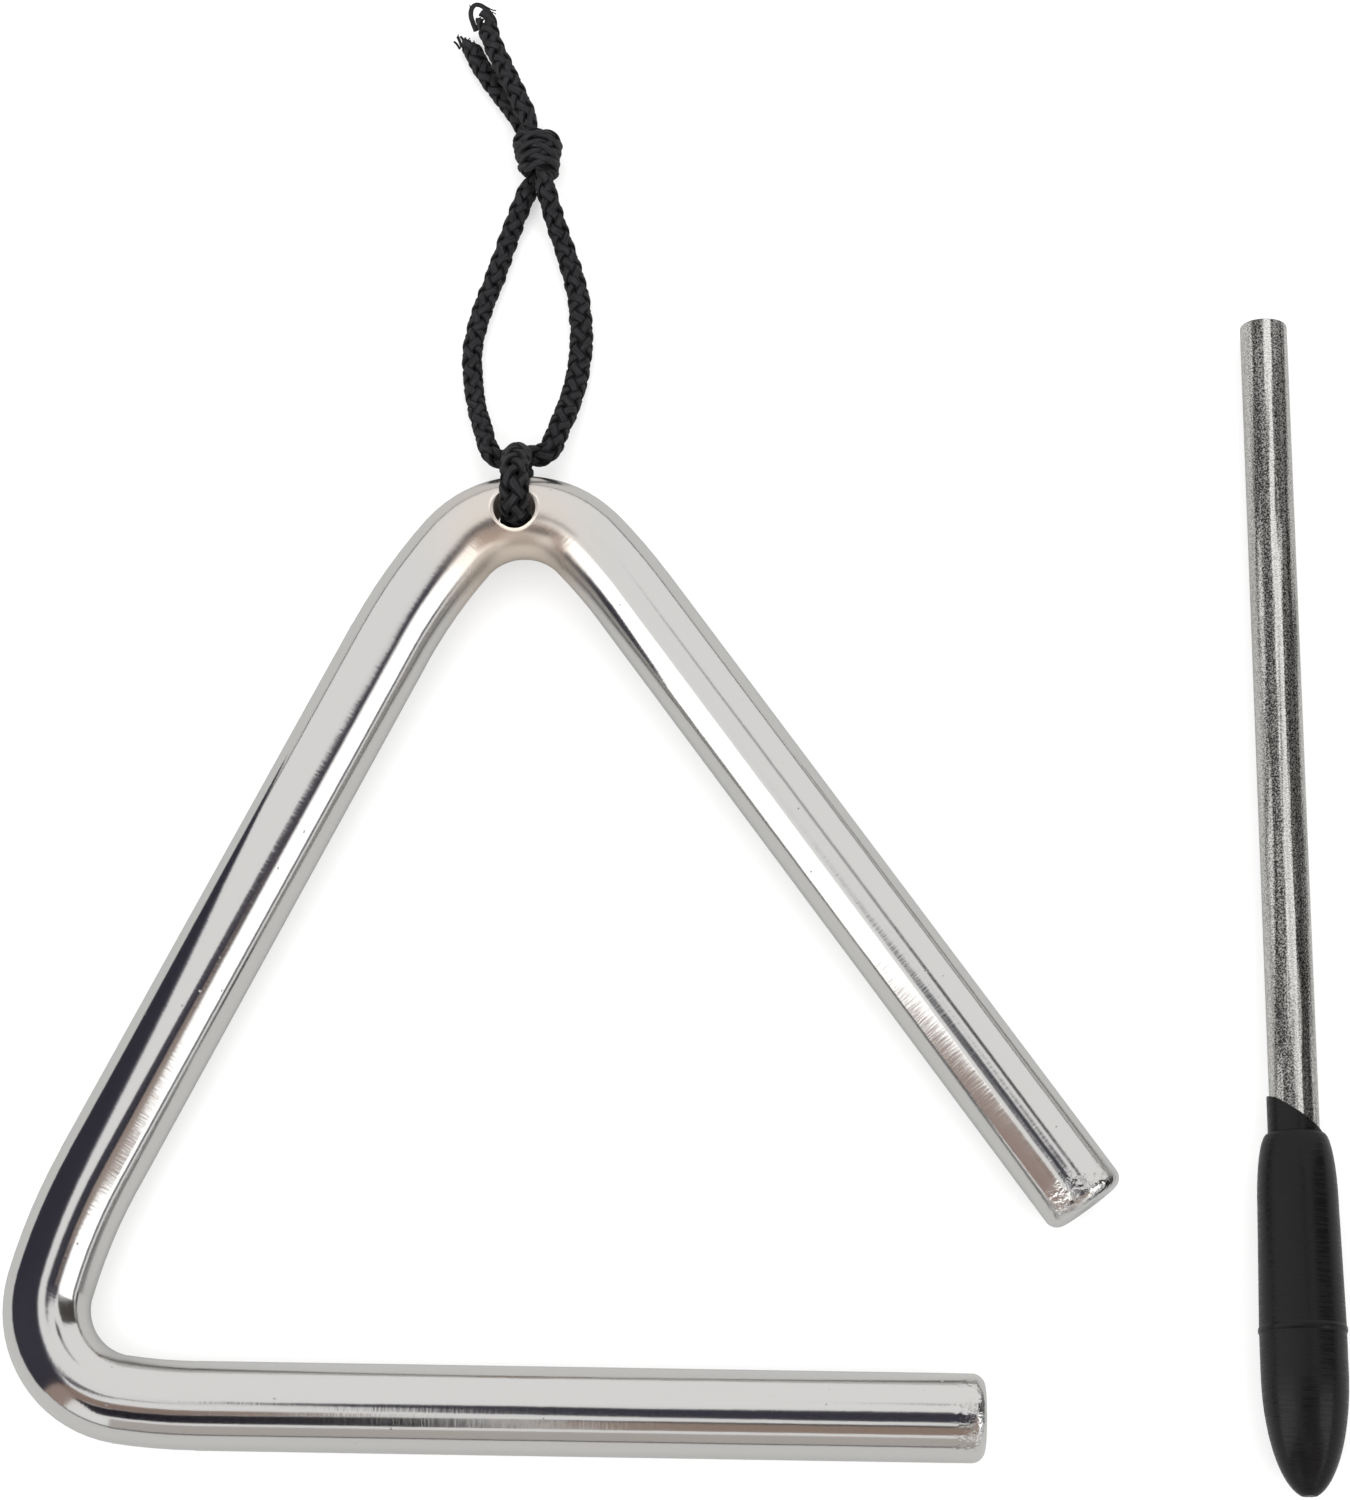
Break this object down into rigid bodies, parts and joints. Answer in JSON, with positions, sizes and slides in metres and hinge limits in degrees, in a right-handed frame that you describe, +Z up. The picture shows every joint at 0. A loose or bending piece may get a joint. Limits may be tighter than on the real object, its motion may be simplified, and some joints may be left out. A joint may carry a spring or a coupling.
{
  "type": "percussion triangle with striker",
  "caption": "Bent round steel bar instrument lying flat, open at one corner, with a knotted cord loop through its top corner and a steel striker with a moulded grip beside it.",
  "frame": {"origin": "middle of the rectangle that the bar and the striker cover on the table, at table height", "axes": "+Z up from the table, +Y from the base leg towards the corner with the cord, +X from the bar towards the striker"},
  "size_m": [0.1217, 0.145, 0.0126],
  "materials": {
    "polished_bar": "polished plating over a lightly pitted bar",
    "plated_rod": "dull, grainy plating",
    "moulded_grip": "satin black",
    "braided_cord": "braided black nylon"
  },
  "bodies": {
    "triangle": {"bar": "polished_bar"},
    "hitch": {"cord_hitch": "braided_cord"},
    "loop": {"cord_leg_left": "braided_cord", "cord_leg_right": "braided_cord", "cord_knot": "braided_cord", "cord_tail_long": "braided_cord", "cord_tail_short": "braided_cord"},
    "striker": {"striker_rod": "plated_rod", "striker_grip": "moulded_grip"}
  },
  "joints": [
    {"name": "swing", "type": "hinge", "parent": "triangle", "child": "hitch", "pos_m": [-0.01631, 0.03417, 0.00606], "axis": [0, 0, 1], "range_deg": [-25, 25]},
    {"name": "fold", "type": "hinge", "parent": "hitch", "child": "loop", "pos_m": [-0.01631, 0.04137, 0.0033], "axis": [1, 0, 0], "range_deg": [-90, 90]},
    {"name": "striker_lift", "type": "slide", "parent": "triangle", "child": "striker", "axis": [0, 0, 1], "range_m": [0, 0.1]}
  ]
}
